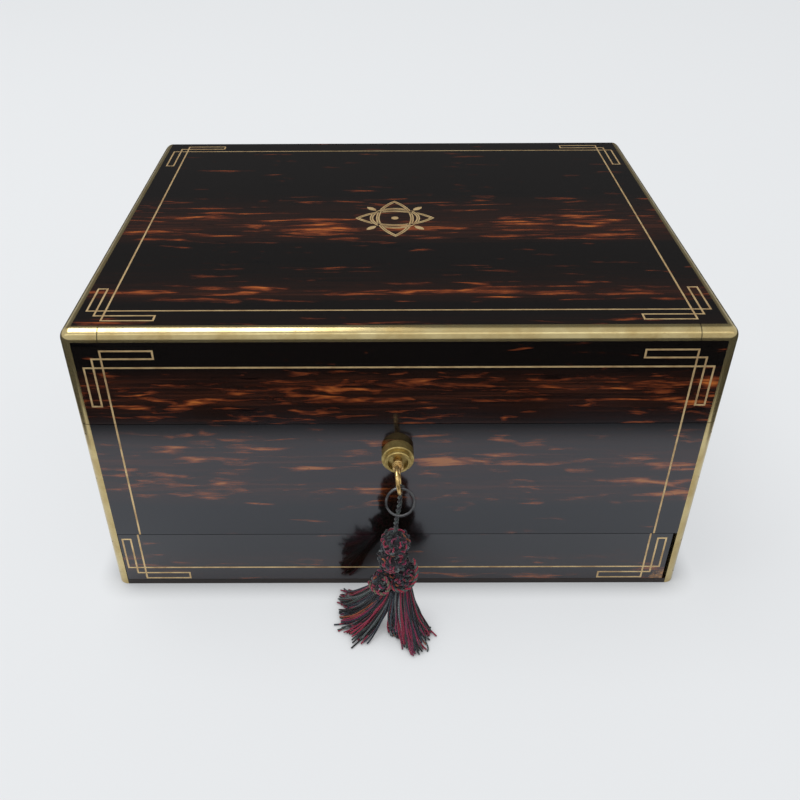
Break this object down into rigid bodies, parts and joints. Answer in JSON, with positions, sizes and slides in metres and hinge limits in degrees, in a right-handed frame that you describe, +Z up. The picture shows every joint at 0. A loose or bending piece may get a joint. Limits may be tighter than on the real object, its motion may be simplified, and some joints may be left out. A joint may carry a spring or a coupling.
{
  "type": "fitted dressing box",
  "caption": "Dark-veneered dressing box with brass edging and stringing, hinged lid with mirror, base drawer, fitted interior, and a lock with key and tassel.",
  "frame": {"origin": "middle of the base board's underside", "axes": "+X to the right along the width, +Y from front to back, +Z up"},
  "size_m": [0.305, 0.2982, 0.16],
  "materials": {
    "carcass_wood": "oiled mahogany",
    "veneer_coromandel": "french polished",
    "edge_brass": "aged, polished by hands",
    "inlay_brass": "flush, aged",
    "lock_brass": "turned, aged",
    "steel": "worn nickel plate",
    "spring_steel": "blued wire",
    "velvet": "short pile",
    "leather": "gilt-tooled",
    "glass": "clear",
    "silver": "engine turned",
    "mirror": "silvered glass",
    "cord_yarn": "twisted",
    "tassel_yarn": "cut and looped yarn"
  },
  "bodies": {
    "case": {"base_board": "carcass_wood", "case_sides": "carcass_wood", "case_back_board": "carcass_wood", "case_front_board": "carcass_wood", "well_floor": "carcass_wood", "case_front_veneer": "veneer_coromandel", "case_side_veneers": "veneer_coromandel", "case_back_veneer": "veneer_coromandel", "case_stringing": "inlay_brass", "case_corner_brasses": "edge_brass", "case_edging_pins": "edge_brass", "lock_case": "lock_brass", "lock_nozzle": "lock_brass", "case_screws": "lock_brass", "case_hinge_leaves": "lock_brass", "hinge_pins": "spring_steel", "well_lining": "velvet", "divider_frame": "carcass_wood", "centre_tray": "leather", "tray_pad": "velvet", "glass_jars": "glass", "silver_lids": "silver", "manicure_tools": "steel"},
    "lid": {"lid_top_board": "carcass_wood", "lid_front_rail": "carcass_wood", "lid_back_rail": "carcass_wood", "lid_side_rails": "carcass_wood", "lid_top_veneer": "veneer_coromandel", "lid_front_veneer": "veneer_coromandel", "lid_side_veneers": "veneer_coromandel", "lid_back_veneer": "veneer_coromandel", "lid_stringing": "inlay_brass", "lid_medallion": "inlay_brass", "lid_edge_brasses": "edge_brass", "lid_corner_brasses": "edge_brass", "lid_edging_pins": "edge_brass", "lid_screws": "lock_brass", "lid_hinge_leaves": "lock_brass", "striker_plate": "lock_brass", "mirror_frame": "leather", "mirror_glass": "mirror"},
    "turn_button": {"mirror_catch": "lock_brass"},
    "drawer": {"drawer_front": "carcass_wood", "drawer_sides": "carcass_wood", "drawer_back": "carcass_wood", "drawer_bottom": "carcass_wood", "drawer_front_veneer": "veneer_coromandel", "drawer_stringing": "inlay_brass", "drawer_lining": "velvet"},
    "locking_pin": {"drawer_pin": "lock_brass"},
    "key_barrel": {"key": "lock_brass", "lock_plug": "lock_brass", "lock_sliders": "spring_steel", "lock_spring": "spring_steel"},
    "bolt": {"lock_bolt": "lock_brass"},
    "eye": {"cord_eye": "cord_yarn"},
    "tassel": {"tassel_cord": "cord_yarn", "tassel_head": "tassel_yarn", "tassel_skirts": "tassel_yarn"},
    "ring": {"split_ring": "steel"}
  },
  "joints": [
    {"name": "lid_hinge", "type": "hinge", "parent": "case", "child": "lid", "pos_m": [0, 0.1236, 0.109], "axis": [-1, 0, 0], "range_deg": [0, 95]},
    {"name": "mirror_catch_turn", "type": "hinge", "parent": "lid", "child": "turn_button", "pos_m": [0, -0.107, 0.1115], "axis": [0, 0, 1], "range_deg": [0, 90]},
    {"name": "drawer_slide", "type": "slide", "parent": "case", "child": "drawer", "axis": [0, -1, 0], "range_m": [0, 0.08]},
    {"name": "drawer_pin_drop", "type": "slide", "parent": "case", "child": "locking_pin", "axis": [0, 0, -1], "range_m": [0, 0.01]},
    {"name": "key_turn", "type": "hinge", "parent": "case", "child": "key_barrel", "pos_m": [0, -0.123, 0.0914], "axis": [0, 1, 0], "range_deg": [0, 90]},
    {"name": "bolt_throw", "type": "slide", "parent": "case", "child": "bolt", "axis": [1, 0, 0], "range_m": [0, 0.005]},
    {"name": "cord_hang", "type": "hinge", "parent": "key_barrel", "child": "eye", "pos_m": [0.00085, -0.14241, 0.08534], "axis": [0, 1, 0], "range_deg": [-90, 0]},
    {"name": "tassel_swing", "type": "hinge", "parent": "eye", "child": "tassel", "pos_m": [0.00085, -0.14241, 0.08359], "axis": [-1, 0, 0], "range_deg": [0, 65]},
    {"name": "ring_swing", "type": "hinge", "parent": "eye", "child": "ring", "pos_m": [0.00086, -0.14479, 0.08734], "axis": [-1, 0, 0], "range_deg": [0, 31]}
  ],
  "couplings": [
    {"joint": "bolt_throw", "follows": "key_turn", "m_per_rad": 0.0031831},
    {"joint": "cord_hang", "follows": "key_turn", "ratio": -1},
    {"joint": "tassel_swing", "follows": "drawer_slide", "rad_per_m": 14},
    {"joint": "ring_swing", "follows": "drawer_slide", "rad_per_m": 6.67}
  ]
}
